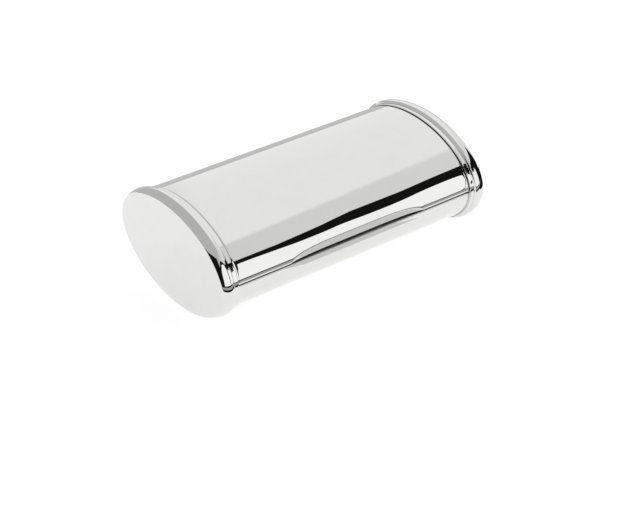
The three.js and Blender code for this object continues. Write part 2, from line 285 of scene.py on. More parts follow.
def spaced(start: float, end: float, pitch: float) -> list[float]:
    """Evenly spaced values from start up to, and without, end, about a pitch apart."""
    count = max(1, round(abs(end - start) / pitch))
    return [start + (end - start) * i / count for i in range(count)]


def thicken(piece: bpy.types.Object, thickness: float) -> None:
    """Give a sheet its thickness, inwards from its faces.

    Args:
        piece: The sheet.
        thickness: The metal's thickness.
    """
    solidify = piece.modifiers.new("sheet_thickness", "SOLIDIFY")
    solidify.thickness = thickness
    solidify.offset = -1
    solidify.use_even_offset = True


def round_edges(piece: bpy.types.Object, width: float, angle: float = 30) -> None:
    """Break a piece's sharp edges with a small round.

    Args:
        piece: The piece.
        width: The round's width.
        angle: The least angle between faces that counts as an edge, in degrees.
    """
    bevel = piece.modifiers.new("broken_edges", "BEVEL")
    bevel.width = width
    bevel.segments = 2
    bevel.limit_method = "ANGLE"
    bevel.angle_limit = math.radians(angle)


# ---- finishes ------------------------------------------------------------------------------------


class Mixture:
    """A node material under construction."""

    def __init__(self, name: str) -> None:
        """Start the material with its shader and the object coordinates.

        Args:
            name: The material's name.
        """
        self.material = bpy.data.materials.new(name)
        self.material.use_nodes = True
        self.tree = self.material.node_tree
        self.place = add_node(self.tree, "ShaderNodeTexCoord").outputs["Object"]

    def along(self, scale: tuple[float, float, float]) -> bpy.types.NodeSocket:
        """The object coordinates, drawn out where the scale is under 1."""
        return add_node(self.tree, "ShaderNodeMapping", {"Vector": self.place, "Scale": scale}).outputs[0]

    def noise(
        self, place: bpy.types.NodeSocket, per_metre: float, detail: float, **more: float
    ) -> bpy.types.NodeSocket:
        """A noise with so many grains to the metre."""
        inputs = {"Vector": place, "Scale": per_metre, "Detail": detail, **more}
        return add_node(self.tree, "ShaderNodeTexNoise", inputs).outputs["Fac"]

    def scaled_sum(
        self, value: bpy.types.NodeSocket, factor: float, added: bpy.types.NodeSocket
    ) -> bpy.types.NodeSocket:
        """One value times a factor, plus another."""
        inputs = {0: value, 1: factor, 2: added}
        return add_node(self.tree, "ShaderNodeMath", inputs, operation="MULTIPLY_ADD").outputs[0]

    def blend(self, share: bpy.types.NodeSocket, first: str, second: str) -> bpy.types.NodeSocket:
        """Two hex colours, mixed by a share."""
        inputs = {0: share, 6: linear(first), 7: linear(second)}
        return add_node(self.tree, "ShaderNodeMix", inputs, data_type="RGBA").outputs[2]

    def relief(self, height: bpy.types.NodeSocket, strength: float, depth_mm: float) -> bpy.types.NodeSocket:
        """A bump from a height, so many millimetres deep."""
        inputs = {"Height": height, "Strength": strength, "Distance": depth_mm * MM}
        return add_node(self.tree, "ShaderNodeBump", inputs).outputs[0]

    def finish(
        self,
        colour: bpy.types.NodeSocket,
        roughness: bpy.types.NodeSocket,
        normal: bpy.types.NodeSocket,
        **plain: float,
    ) -> bpy.types.Material:
        """Wire the shader up.

        Args:
            colour: The base colour's socket.
            roughness: The roughness's socket.
            normal: The bump's socket.
            plain: Plain values for other inputs, with underscores for spaces.

        Returns:
            The material.
        """
        shader = self.tree.nodes["Principled BSDF"]
        for name, socket in (("Base Color", colour), ("Roughness", roughness), ("Normal", normal)):
            self.tree.links.new(socket, shader.inputs[name])
        for name, value in plain.items():
            shader.inputs[name.replace("_", " ")].default_value = value
        return self.material


@dataclass(frozen=True)
class MirrorSteel:
    """Stainless sheet buffed to a mirror: it reflects the room, with the sheet's slow waves in it."""

    slot: str = "mirror_steel"
    colour: str = "e2e2e1"
    haze_colour: str = "dfdfde"
    roughness: Pair = (0.014, 0.042)
    wave_mm: float = 70
    wave_depth_mm: float = 0.11
    buff_mm: float = 1.1
    smear_mm: float = 26

    def material(self) -> bpy.types.Material:
        """Build the material: slow waves in the bump, buffing lines and wiped smears in the roughness."""
        mix = Mixture("mirror_polished_stainless_steel")
        wave = mix.noise(mix.place, 1 / (self.wave_mm * MM), 0.0, Roughness=0.3)
        buff = mix.noise(mix.along((0.02, 1.0, 1.0)), 1 / (self.buff_mm * MM), 3.0, Roughness=0.6)
        smear = mix.noise(mix.place, 1 / (self.smear_mm * MM), 5.0, Roughness=0.55, Distortion=0.4)
        patches = spread(mix.tree, smear, (0.0, 0.7), (0.45, 0.75))
        rough = spread(mix.tree, mix.scaled_sum(buff, 0.35, patches), self.roughness)
        tint = mix.blend(patches, self.colour, self.haze_colour)
        return mix.finish(tint, rough, mix.relief(wave, 1.0, self.wave_depth_mm), Metallic=1.0)


@dataclass(frozen=True)
class SatinSteel:
    """Rolled stainless sheet with its fine one-way grain: a soft streaked sheen."""

    slot: str = "satin_steel"
    colour: str = "c9c9c6"
    dark: str = "b4b4b1"
    roughness: Pair = (0.22, 0.44)
    grain_mm: float = 0.7
    blotches_per_metre: float = 22.0

    def material(self) -> bpy.types.Material:
        """Build the material: a stretched grain drives colour, roughness and a shallow bump."""
        mix = Mixture("satin_rolled_stainless_steel")
        grain = mix.noise(mix.along((1.0, 0.03, 1.0)), 1 / (self.grain_mm * MM), 4.0, Roughness=0.65)
        blotch = mix.noise(mix.place, self.blotches_per_metre, 3.0)
        rough = spread(mix.tree, mix.scaled_sum(grain, 0.7, blotch), self.roughness, (0.0, 1.4))
        tint = mix.blend(grain, self.dark, self.colour)
        return mix.finish(tint, rough, mix.relief(grain, 0.25, 0.02), Metallic=1.0)


@dataclass(frozen=True)
class ZincPlate:
    """Bright zinc plating on turned steel: a slightly blue, slightly cloudy metal."""

    slot: str = "plated_steel"
    colour: str = "bfc3c8"
    cloud: str = "a9adb0"
    roughness: Pair = (0.2, 0.38)
    clouds_per_metre: float = 420.0
    nicks_per_metre: float = 900.0

    def material(self) -> bpy.types.Material:
        """Build the material: clouds of crystal size, and small scratches from the driver and the bin."""
        mix = Mixture("bright_zinc_plated_steel")
        cloud = mix.noise(mix.place, self.clouds_per_metre, 4.0)
        cells = {"Vector": mix.place, "Scale": self.nicks_per_metre}
        nicks = add_node(mix.tree, "ShaderNodeTexVoronoi", cells, feature="DISTANCE_TO_EDGE")
        rough = spread(mix.tree, cloud, self.roughness, (0.3, 0.7))
        tint = mix.blend(cloud, self.cloud, self.colour)
        return mix.finish(tint, rough, mix.relief(nicks.outputs["Distance"], 0.15, 0.03), Metallic=1.0)


@dataclass(frozen=True)
class Moulded:
    """A moulded finish: a fine eroded grain from the mould over one body colour."""

    slot: str
    name: str
    colour: str
    worn: str
    roughness: Pair
    grain_mm: float
    grain_depth_mm: float
    scatter: float = 0.0
    marks_per_metre: float = 95.0

    def material(self) -> bpy.types.Material:
        """Build the material: mould grain in the bump, and slow handling marks in colour and roughness."""
        mix = Mixture(self.name)
        grain = mix.noise(mix.place, 1 / (self.grain_mm * MM), 2.0)
        marks = mix.noise(mix.place, self.marks_per_metre, 4.0)
        rough = spread(mix.tree, marks, self.roughness)
        tint = mix.blend(marks, self.colour, self.worn)
        bump = mix.relief(grain, 0.6, self.grain_depth_mm)
        return mix.finish(tint, rough, bump, Subsurface_Weight=self.scatter, Subsurface_Scale=0.6 * MM)


class Finish(Enum):
    """The finishes of the box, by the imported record's slots."""

    MIRROR = MirrorSteel()
    SATIN = SatinSteel()
    ZINC = ZincPlate()
    # Natural nylon 6: milky, a little light comes through it.
    NYLON = Moulded("nylon", "moulded_natural_nylon", "e9e6dc", "dedacb", (0.38, 0.55), 0.8, 0.02, 0.15)
    # Black nitrile rubber: matt, bloomed a little grey where it is touched.
    RUBBER = Moulded("rubber", "moulded_black_rubber", "1e1e1e", "2e2d2c", (0.62, 0.82), 0.5, 0.04)


class Paint:
    """Makes each finish's material once and puts it on pieces."""

    def __init__(self) -> None:
        """Build all the materials."""
        self.materials = {finish: finish.value.material() for finish in Finish}

    def dress(self, piece: bpy.types.Object, finish: Finish) -> None:
        """Give a piece one finish.

        Args:
            piece: The piece.
            finish: Its finish.
        """
        if not piece.material_slots:
            piece.data.materials.append(None)
        for material_slot in piece.material_slots:
            material_slot.material = self.materials[finish]

    def place(self, piece: bpy.types.Object, finish: Finish, body: str, node: str) -> None:
        """Dress a new piece, and say which body it rides on and which node it stands for.

        Args:
            piece: The piece.
            finish: Its finish.
            body: The body it moves with.
            node: The CAD node it replaces.
        """
        self.dress(piece, finish)
        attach(piece, body)
        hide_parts(node)
        log.info("%s rides on %s", piece.name, body)


# ---- the oval ------------------------------------------------------------------------------------


@dataclass(frozen=True)
class Oval:
    """The box's section: an ellipse, with sizes of the lid's outer surface and the height of its centre."""

    half_depth: float = 123.5 * MM
    half_height: float = 73.5 * MM
    centre_z: float = 81.5 * MM

    @property
    def stretch(self) -> float:
        """How much longer the half depth is than the half height."""
        return self.half_depth - self.half_height

    @property
    def pivot(self) -> Pair:
        """The (y, z) of the lid's hinge line: the centre of curvature of the back tip."""
        return self.half_depth - self.half_height**2 / self.half_depth, self.centre_z

    def point(self, inset: float, degrees: float) -> Pair:
        """The (y, z) of a point of the oval that lies an inset inside the lid's surface.

        Args:
            inset: The distance inside the lid's outer surface.
            degrees: The oval's angle, from the back tip upwards.

        Returns:
            The point.
        """
        angle = math.radians(degrees)
        y = (self.half_depth - inset) * math.cos(angle)
        return y, self.centre_z + (self.half_height - inset) * math.sin(angle)

    def arc(self, inset: float, start: float, end: float, pitch: float = 1.0) -> list[Pair]:
        """Points along such an oval, both ends included.

        Args:
            inset: The distance inside the lid's outer surface.
            start: The first angle, in degrees.
            end: The last angle, in degrees.
            pitch: The step, in degrees.

        Returns:
            The points.
        """
        steps = max(1, round(abs(end - start) / pitch))
        return [self.point(inset, start + (end - start) * i / steps) for i in range(steps + 1)]

    def front_at(self, height: float) -> float:
        """The lid's front surface, as y, at a height above the centre line."""
        return -self.half_depth * math.sqrt(max(0.0, 1 - (height / self.half_height) ** 2))

    def floor_at(self, y: float, inset: float) -> float:
        """The lower half's z at a depth y, for an oval an inset inside the lid's surface."""
        across = min(1.0, abs(y) / (self.half_depth - inset))
        return self.centre_z - (self.half_height - inset) * math.sqrt(1 - across**2)

    def widen(self, bm: bmesh.types.BMesh, face_x: float, flat: float) -> None:
        """Turn a shape spun about X, its radii measured to the oval's top, into an oval one.

        Args:
            bm: The shape's bmesh.
            face_x: Beyond this x the shape is a flat face, where the oval shrinks to its centre.
            flat: The flat face's radius.
        """
        for vert in bm.verts:
            radius = max(1e-9, math.hypot(vert.co.y, vert.co.z))
            shrink = min(1.0, radius / flat) if abs(vert.co.x) > face_x else 1.0
            vert.co.y *= 1 + self.stretch * shrink / radius
            vert.co.z += self.centre_z


OVAL = Oval()
SHEET = 0.8 * MM
GAP = 0.3 * MM
BODY_INSET = 1.6 * MM


class End(Enum):
    """The box's two ends, by the sign of x there."""

    LEFT = -1
    RIGHT = 1

    def of(self, part: str) -> str:
        """The name of a part at this end."""
        return f"{self.name.lower()}_{part}"


def mirrored(bm: bmesh.types.BMesh, end: End) -> None:
    """Turn a right-hand shape into a left-hand one at the left end, and keep its faces outwards.

    Args:
        bm: The bmesh, made for the right end.
        end: The end that it goes to.
    """
    if end is End.LEFT:
        bmesh.ops.scale(bm, verts=list(bm.verts), vec=(-1, 1, 1))
        bmesh.ops.reverse_faces(bm, faces=list(bm.faces))


def turned(end: End, part: str, profile: Sequence[Pair], place: Pair, edge: float) -> bpy.types.Object:
    """Make a turned piece on a line along X.

    Args:
        end: The piece's end.
        part: What it is.
        profile: Its outline, as radius and x.
        place: The (y, z) of its line.
        edge: The round on its sharp edges.

    Returns:
        The piece.
    """
    bm = bmesh.new()
    spin_about_x(bm, profile, 48, *place)
    face_outwards(bm)
    mirrored(bm, end)
    piece = new_bmesh_object(bm, end.of(part), smooth=False)
    round_edges(piece, edge)
    return piece


# ---- lid -----------------------------------------------------------------------------------------


@dataclass
class FingerRecess:
    """The middle of the lid's front margin, pressed in so that fingers hook under its top."""

    length: float = 224 * MM
    end_length: float = 70 * MM
    depth: float = 5.2 * MM
    top: float = 19.5 * MM
    lean: float = math.tan(math.radians(3))
    fillet: float = 0.7 * MM

    def push(self, x: float, height: float) -> float:
        """How far the margin is pressed in.

        Args:
            x: The place along the lid.
            height: The height above the oval's centre line.

        Returns:
            The distance in +y, with a small round where the recess meets the lid.
        """
        beyond = (abs(x) - (self.length / 2 - self.end_length)) / self.end_length
        if beyond >= 1.05:
            return 0.0
        drop = 1 - math.sqrt(1 - min(1.0, max(0.0, beyond)) ** 2) + max(0.0, beyond - 1) * 9
        wall = OVAL.front_at(self.top) + (self.top - height) * self.lean - self.depth * drop
        inside = wall - OVAL.front_at(height)
        round_part = max(self.fillet - abs(inside), 0.0) / self.fillet
        return max(inside, 0.0) + round_part**2 * self.fillet / 4


@dataclass
class Lid:
    """The moving body: the lid's sheet, the cheeks that carry it and the bushes in them."""

    end_x: float = 194.2 * MM
    back_angle: float = 24.5
    lip_angle: float = 172.5
    lip_z: float = 6 * MM
    lip_corner: float = 3 * MM
    lip_depth: float = 14.5 * MM
    plate: float = 1.2 * MM
    cheek_x: float = 189.3 * MM
    cheek_angles: Pair = (108, 168)
    boss_radius: float = 13 * MM
    bush_radius: float = 6 * MM
    flange_width: float = 8.6 * MM
    roll_radius: float = 6.4 * MM
    roll_width: float = 2.2 * MM
    recess: FingerRecess = field(default_factory=FingerRecess)

    def profile(self) -> list[Pair]:
        """The outer surface's section, from the back edge over the top to the lip's inner edge."""
        coarse = OVAL.arc(0, self.back_angle, 150, 1.2)
        fine = OVAL.arc(0, 150, self.lip_angle, 0.45)[1:]
        front = OVAL.point(0, self.lip_angle)
        corner = self.lip_corner
        centre = (front[0] + 0.15 * MM + corner, OVAL.centre_z + self.lip_z + corner)
        turn = arc(centre, corner, 180, 270, 12)
        back = -OVAL.half_depth + self.lip_depth
        bottom = centre[1] - corner
        lip = [(y, bottom) for y in spaced(centre[0], back, 1 * MM)[1:]] + [(back, bottom)]
        return coarse + fine + turn + lip

    def stations(self) -> list[float]:
        """The x of each row, close together where the recess ends."""
        end = self.recess.length / 2
        half = (
            spaced(0, end - 22 * MM, 3 * MM)
            + spaced(end - 22 * MM, end - 4 * MM, 1 * MM)
            + spaced(end - 4 * MM, end + 4 * MM, 0.4 * MM)
            + spaced(end + 4 * MM, self.end_x - self.roll_width, 4 * MM)
            + spaced(self.end_x - self.roll_width, self.end_x, self.roll_width / 8)
            + [self.end_x]
        )
        return [-x for x in reversed(half[1:])] + half

    def press_recess(self, bm: bmesh.types.BMesh) -> None:
        """Press the finger recess into the sheet, the lip following with its inner edge held.

        Args:
            bm: The lid's bmesh.
        """
        bottom = self.lip_z + self.lip_corner
        corner_y = -OVAL.half_depth + self.lip_corner + 1 * MM
        held_y = -OVAL.half_depth + self.lip_depth
        for vert in bm.verts:
            height = vert.co.z - OVAL.centre_z
            if vert.co.y > -60 * MM or height > self.recess.top + 6 * MM:
                continue
            push = self.recess.push(vert.co.x, max(height, self.lip_z))
            if height < bottom - self.lip_corner * 0.98 and vert.co.y > corner_y:
                push *= max(0.0, (held_y - vert.co.y) / (held_y - corner_y))
            vert.co.y += push

    def roll_ends(self, bm: bmesh.types.BMesh) -> None:
        """Turn the sheet's two ends slightly inwards, as the edge rollers leave them.

        Args:
            bm: The lid's bmesh.
        """
        for vert in bm.verts:
            beyond = abs(vert.co.x) - (self.end_x - self.roll_width)
            if beyond <= 0:
                continue
            sink = self.roll_radius - math.sqrt(self.roll_radius**2 - beyond**2)
            rise = vert.co.z - OVAL.centre_z
            outward = Vector((0, vert.co.y / OVAL.half_depth**2, rise / OVAL.half_height**2))
            vert.co -= outward.normalized() * sink

    def sheet(self) -> bpy.types.Object:
        """Make the lid's sheet."""
        bm = bmesh.new()
        sweep(bm, self.profile(), self.stations())
        self.press_recess(bm)
        self.roll_ends(bm)
        if sum(face.normal.z * face.calc_area() for face in bm.faces) < 0:
            bmesh.ops.reverse_faces(bm, faces=list(bm.faces))
        piece = new_bmesh_object(bm, "lid_sheet")
        thicken(piece, SHEET)
        return piece

    def cheek(self, end: End) -> bpy.types.Object:
        """Make one cheek: a flat blade with a flange under the lid.

        Args:
            end: The piece's end.

        Returns:
            The cheek.
        """
        inset = SHEET + GAP
        pivot = OVAL.pivot
        rim = OVAL.arc(inset, *self.cheek_angles, 1.5)
        outline = rim + arc(pivot, self.boss_radius, 262, 470, 40)
        bore = arc(pivot, self.bush_radius + GAP, 0, 360, 32)[:-1]
        bm = bmesh.new()
        edges = chain(bm, [(self.cheek_x, y, z) for y, z in outline], closed=True)
        edges += chain(bm, [(self.cheek_x, y, z) for y, z in bore], closed=True)
        bmesh.ops.triangle_fill(bm, use_beauty=True, use_dissolve=False, edges=edges)
        push_faces(bm, self.plate)
        face_outwards(bm)
        flange = bmesh.new()
        section = rim + list(reversed(OVAL.arc(inset + 1 * MM, *self.cheek_angles, 1.5)))
        flange.faces.new([flange.verts.new((self.cheek_x, y, z)) for y, z in section])
        push_faces(flange, -self.flange_width)
        add_solid(bm, flange)
        mirrored(bm, end)
        piece = new_bmesh_object(bm, end.of("cheek"), smooth=False)
        round_edges(piece, 0.25 * MM)
        return piece

    def bush(self, end: End) -> bpy.types.Object:
        """Make one flanged bush.

        Args:
            end: The piece's end.

        Returns:
            The bush.
        """
        flange = 9 * MM
        bore = 4.2 * MM
        start = self.cheek_x - 1.6 * MM
        stop = self.cheek_x + self.plate + 0.5 * MM
        seat = self.cheek_x - GAP
        profile = [
            (bore, start),
            (flange, start),
            (flange, seat),
            (self.bush_radius, seat),
            (self.bush_radius, stop),
            (bore, stop),
            (bore, start),
        ]
        return turned(end, "bush", profile, OVAL.pivot, 0.2 * MM)

    def build(self, paint: Paint) -> None:
        """Build the lid's pieces and dress them.

        Args:
            paint: The finishes.
        """
        paint.place(self.sheet(), Finish.MIRROR, "lid", "lid_shell")
        for end in End:
            paint.place(self.cheek(end), Finish.SATIN, "lid", end.of("lid_cheek"))
            paint.place(self.bush(end), Finish.NYLON, "lid", end.of("pivot_bush"))


# ---- body ----------------------------------------------------------------------------------------


@dataclass
class Body:
    """The fixed sheet: floor, back and front rail, with a ledge along the front and vents in the back."""

    end_x: float = 200 * MM
    back_angle: float = 32
    front_angle: float = 177.5
    ledge_z: float = 4.6 * MM
    ledge_depth: float = 18 * MM
    ledge_corner: float = 1.6 * MM
    vent_radius: float = 2.5 * MM
    vent_pitch: float = 16 * MM
    vent_count: int = 8

    def profile(self) -> list[Pair]:
        """The outer surface's section, from the ledge's inner edge down round the floor to the back edge."""
        front = OVAL.point(BODY_INSET, self.front_angle)
        corner = self.ledge_corner
        centre = (front[0] + 0.1 * MM + corner, OVAL.centre_z + self.ledge_z - corner)
        top = centre[1] + corner
        inner = -OVAL.half_depth + self.ledge_depth
        ledge = [(y, top) for y in spaced(inner, centre[0], 2 * MM)]
        turn = arc(centre, corner, 90, 180, 8)
        return ledge + turn + OVAL.arc(BODY_INSET, self.front_angle + 2, 360 + self.back_angle, 1.2)

    def cut_vents(self, bm: bmesh.types.BMesh) -> None:
        """Open a row of round vents along the back tip.

        Args:
            bm: The body's bmesh.
        """
        reach = self.vent_pitch * self.vent_count / 2 + 2 * MM
        band = 4.2 * MM
        doomed = [
            face
            for face in bm.faces
            if (centre := face.calc_center_median()).y > 100 * MM
            and abs(centre.x) < reach
            and abs(centre.z - OVAL.centre_z) < band
        ]
        rim = dict.fromkeys(edge for face in doomed for edge in face.edges)
        bmesh.ops.delete(bm, geom=doomed, context="FACES_ONLY")
        edges = [edge for edge in rim if edge.is_valid and len(edge.link_faces) == 1]
        loose = [edge for edge in rim if edge.is_valid and not edge.link_faces]
        bmesh.ops.delete(bm, geom=loose, context="EDGES")
        tip = OVAL.half_depth - BODY_INSET
        for i in range(self.vent_count):
            x = (i - (self.vent_count - 1) / 2) * self.vent_pitch
            circle = arc((x, 0), self.vent_radius, 0, 360, 32)[:-1]
            places = [
                (px, tip * math.sqrt(1 - (pz / (OVAL.half_height - BODY_INSET)) ** 2), OVAL.centre_z + pz)
                for px, pz in circle
            ]
            edges += chain(bm, places, closed=True)
        edges = [edge for edge in edges if edge.is_valid]
        bmesh.ops.triangle_fill(bm, use_beauty=True, use_dissolve=False, edges=edges)
        face_outwards(bm)

    def build(self, paint: Paint) -> None:
        """Build the body's sheet and dress it.

        Args:
            paint: The finishes.
        """
        bm = bmesh.new()
        sweep(bm, self.profile(), spaced(-self.end_x, self.end_x, 4 * MM) + [self.end_x])
        self.cut_vents(bm)
        lowest = min(bm.faces, key=lambda face: face.calc_center_median().z)
        if lowest.normal.z > 0:
            bmesh.ops.reverse_faces(bm, faces=list(bm.faces))
        # The ledge under the lid's lip is left satin: only what shows with the lid shut is polished.
        for face in bm.faces:
            face.material_index = int(face.normal.z > 0.8 and face.calc_center_median().z > OVAL.centre_z)
        piece = new_bmesh_object(bm, "body_sheet")
        thicken(piece, SHEET)
        paint.place(piece, Finish.MIRROR, "box", "body_shell")
        piece.data.materials.append(paint.materials[Finish.SATIN])


# ---- ends ----------------------------------------------------------------------------------------


@dataclass
class Ends:
    """The drawn end caps, the plates behind them and the screws that hold both together."""

    face_x: float = 220 * MM
    depth: float = 25 * MM
    rim_width: float = 17.5 * MM
    rim_rise: float = 5 * MM
    rim_crest: float = 12.5 * MM
    collar_rise: float = 1.8 * MM
    rim_fall: float = 2.4 * MM
    rim_reach: float = 9 * MM
    edge_width: float = 1.6 * MM
    edge_drop: float = 1.7 * MM
    roll_radius: float = 0.7 * MM
    wall: float = 1 * MM
    boss_radius: float = 4.5 * MM
    boss_bore: float = 2 * MM
    bore_depth: float = 11 * MM
    plate_bend: float = 2.2 * MM
    plate_x: float = 200.3 * MM
    plate: float = 1.2 * MM
    screw_y: float = 86 * MM
    screw_z: float = 34 * MM

    def bulge(self, x: float) -> float:
        """The rim's outer radius, to the oval's top, at x."""
        middle = self.face_x - self.rim_crest
        return OVAL.half_height + self.rim_rise - self.rim_fall * ((x - middle) / self.rim_reach) ** 2

    def cap_profile(self) -> tuple[list[Pair], float]:
        """The cap's section, from the face's centre round to its inside, and the flat face's radius."""
        rim_x = self.face_x - self.edge_width
        rim_edge = self.bulge(rim_x)
        face_edge = rim_edge - self.edge_drop
        collar = OVAL.half_height + self.collar_rise
        collar_x = self.face_x - self.depth
        step_x = self.face_x - self.rim_width
        small = self.roll_radius
        rim_xs = [rim_x - i * (self.rim_width - 2.2 * MM) / 22 for i in range(23)]
        rim = [(self.bulge(x), x) for x in rim_xs]
        last = rim[-1]
        shoulder = [
            (last[0] - 0.25 * MM, last[1] - 0.35 * MM),
            (collar + 0.35 * MM, step_x - 0.25 * MM),
            (collar + 0.08 * MM, step_x - 0.45 * MM),
            (collar, step_x - 0.85 * MM),
        ]
        band = [(collar, x) for x in spaced(step_x - 1.3 * MM, collar_x + small, 1.5 * MM)]
        roll_radius, roll_x = collar - small, collar_x + small
        roll = [
            (roll_radius + small * math.sin(math.radians(a)), roll_x - small * math.cos(math.radians(a)))
            for a in (90, 68, 45, 22, 0)
        ]
        inner = OVAL.half_height - BODY_INSET + GAP
        inside = [(inner, collar_x), (inner, step_x + 0.9 * MM)]
        inside += [(self.bulge(x) - self.wall, x) for x in reversed(rim_xs[3:20:4])]
        inside += [(face_edge - 0.2 * MM, self.face_x - self.wall), (0.0, self.face_x - self.wall)]
        # The edge curves from the flat face into the rim's own slope.
        slope = 2 * self.rim_fall * (rim_x - self.face_x + self.rim_crest) / self.rim_reach**2
        corner = rim_edge - slope * self.edge_width
        edge = []
        for t in (0.17, 0.33, 0.5, 0.67, 0.83):
            radius = face_edge * (1 - t) ** 2 + corner * 2 * t * (1 - t) + rim_edge * t**2
            edge.append((radius, self.face_x - self.edge_width * t**2))
        face = [(0.0, self.face_x), (face_edge * 0.5, self.face_x), (face_edge - 2.5 * MM, self.face_x)]
        face += [(face_edge - 0.6 * MM, self.face_x), (face_edge, self.face_x)]
        return face + edge + rim + shoulder + band + roll + inside, face_edge

    def cap(self, end: End) -> bpy.types.Object:
        """Make one end cap with its four screw bosses.

        Args:
            end: The piece's end.

        Returns:
            The cap.
        """
        profile, face_edge = self.cap_profile()
        bm = bmesh.new()
        spin_about_x(bm, profile, 240)
        OVAL.widen(bm, self.face_x - self.wall - GAP, face_edge)
        face_outwards(bm)
        back = self.plate_x + self.plate
        bottom = back + self.bore_depth
        root = self.face_x - self.wall
        boss = [(0.0, bottom), (self.boss_bore, bottom), (self.boss_bore, back + GAP)]
        boss += [(self.boss_radius, back + GAP), (self.boss_radius, root), (0.0, root)]
        for y, z in self.screw_places():
            part = bmesh.new()
            spin_about_x(part, boss, 32, y, z)
            add_solid(bm, part)
        mirrored(bm, end)
        return new_bmesh_object(bm, end.of("cap"))

    def end_plate(self, end: End) -> bpy.types.Object:
        """Make one pressed end plate with its flange inside the body's sheet.

        Args:
            end: The piece's end.

        Returns:
            The plate.
        """
        outer = OVAL.half_height - BODY_INSET - SHEET - GAP
        bend = self.plate_bend
        flange_end = self.face_x - self.depth - 0.7 * MM
        turn = arc((outer - bend, self.plate_x + self.plate - bend), bend, 90, 0, 8)
        profile = [(0.0, self.plate_x + self.plate), (outer * 0.5, self.plate_x + self.plate)]
        profile += [(outer - bend - 1 * MM, self.plate_x + self.plate)] + turn + [(outer, flange_end)]
        bm = bmesh.new()
        spin_about_x(bm, profile, 180)
        OVAL.widen(bm, self.plate_x + self.plate - 0.01 * MM, outer - bend)
        centre_face = max(bm.faces, key=lambda face: face.calc_center_median().x)
        if centre_face.normal.x < 0:
            bmesh.ops.reverse_faces(bm, faces=list(bm.faces))
        mirrored(bm, end)
        piece = new_bmesh_object(bm, end.of("plate"))
        thicken(piece, self.plate)
        return piece

    def screw_places(self) -> list[Pair]:
        """The (y, z) of the four cap screws."""
        signs = ((1, 1), (1, -1), (-1, 1), (-1, -1))
        return [(sy * self.screw_y, OVAL.centre_z + sz * self.screw_z) for sy, sz in signs]

    def build(self, paint: Paint) -> None:
        """Build both ends and dress them.

        Args:
            paint: The finishes.
        """
        for end in End:
            paint.place(self.cap(end), Finish.MIRROR, "box", end.of("end_cap"))
            paint.place(self.end_plate(end), Finish.SATIN, "box", end.of("end_plate"))
            for i, (y, z) in enumerate(self.screw_places(), start=1):
                screw = pan_screw(end.of(f"screw_{i}"), 3.6 * MM, 2.4 * MM, 1.7 * MM, 10.5 * MM)
                turn = Matrix.Rotation(math.radians(-90 * end.value), 4, "Y")
                move = Matrix.Translation((end.value * (self.plate_x - GAP), y, z))
                screw.data.transform(move @ turn)
                paint.place(screw, Finish.ZINC, "box", end.of(f"cap_screw_{i}"))


def pan_screw(
    name: str, head_radius: float, head_height: float, shank_radius: float, length: float
) -> bpy.types.Object:
    """Make a pan-head screw with a cross recess, its head up, its shank down and its head's seat at z = 0.

    Args:
        name: The piece's name.
        head_radius: The head's radius.
        head_height: The head's height.
        shank_radius: The shank's radius.
        length: The shank's length.

    Returns:
        The screw.
    """
    bm = bmesh.new()
    arm, half = head_radius * 0.6, head_radius * 0.13
    top = head_height
    flat = head_radius * 0.68
    cross = [(half, arm), (half, half), (arm, half), (arm, -half), (half, -half), (half, -arm)]
    cross += [(-x, -y) for x, y in cross]
    ring = arc((0, 0), flat, 0, 360, 24)[:-1]
    recess = chain(bm, [(x, y, top) for x, y in cross], closed=True)
    rim = chain(bm, [(x, y, top) for x, y in ring], closed=True)
    bmesh.ops.triangle_fill(bm, use_beauty=True, use_dissolve=False, edges=recess + rim)
    sunk = bmesh.ops.extrude_edge_only(bm, edges=recess)["geom"]
    low = verts_in(sunk)
    bmesh.ops.translate(bm, verts=low, vec=(0, 0, -head_height * 0.6))
    bmesh.ops.scale(bm, verts=low, vec=(0.7, 0.7, 1))
    bmesh.ops.contextual_create(bm, geom=edges_between(sunk, low))
    pitch = 0.45 * MM
    turns = range(int((length - 2 * MM) / pitch))
    thread = [(shank_radius * (1.0 if i % 2 else 0.84), -0.5 * MM - i * pitch) for i in turns]
    outline = [(head_radius * 0.9, top * 0.8), (head_radius, top * 0.4), (head_radius, 0.0)]
    outline += [(shank_radius, 0.0)] + thread + [(0.0, -length)]
    edges = rim
    last_radius, last_z = flat, top
    for radius, z in outline:
        made = bmesh.ops.extrude_edge_only(bm, edges=edges)["geom"]
        verts = verts_in(made)
        bmesh.ops.translate(bm, verts=verts, vec=(0, 0, z - last_z))
        factor = max(radius, 1e-6) / last_radius
        bmesh.ops.scale(bm, verts=verts, vec=(factor, factor, 1))
        edges = edges_between(made, verts)
        last_radius, last_z = max(radius, 1e-6), z
    bmesh.ops.remove_doubles(bm, verts=list(bm.verts), dist=5e-6)
    face_outwards(bm)
    return new_bmesh_object(bm, name, smooth=False)


# ---- pivots --------------------------------------------------------------------------------------


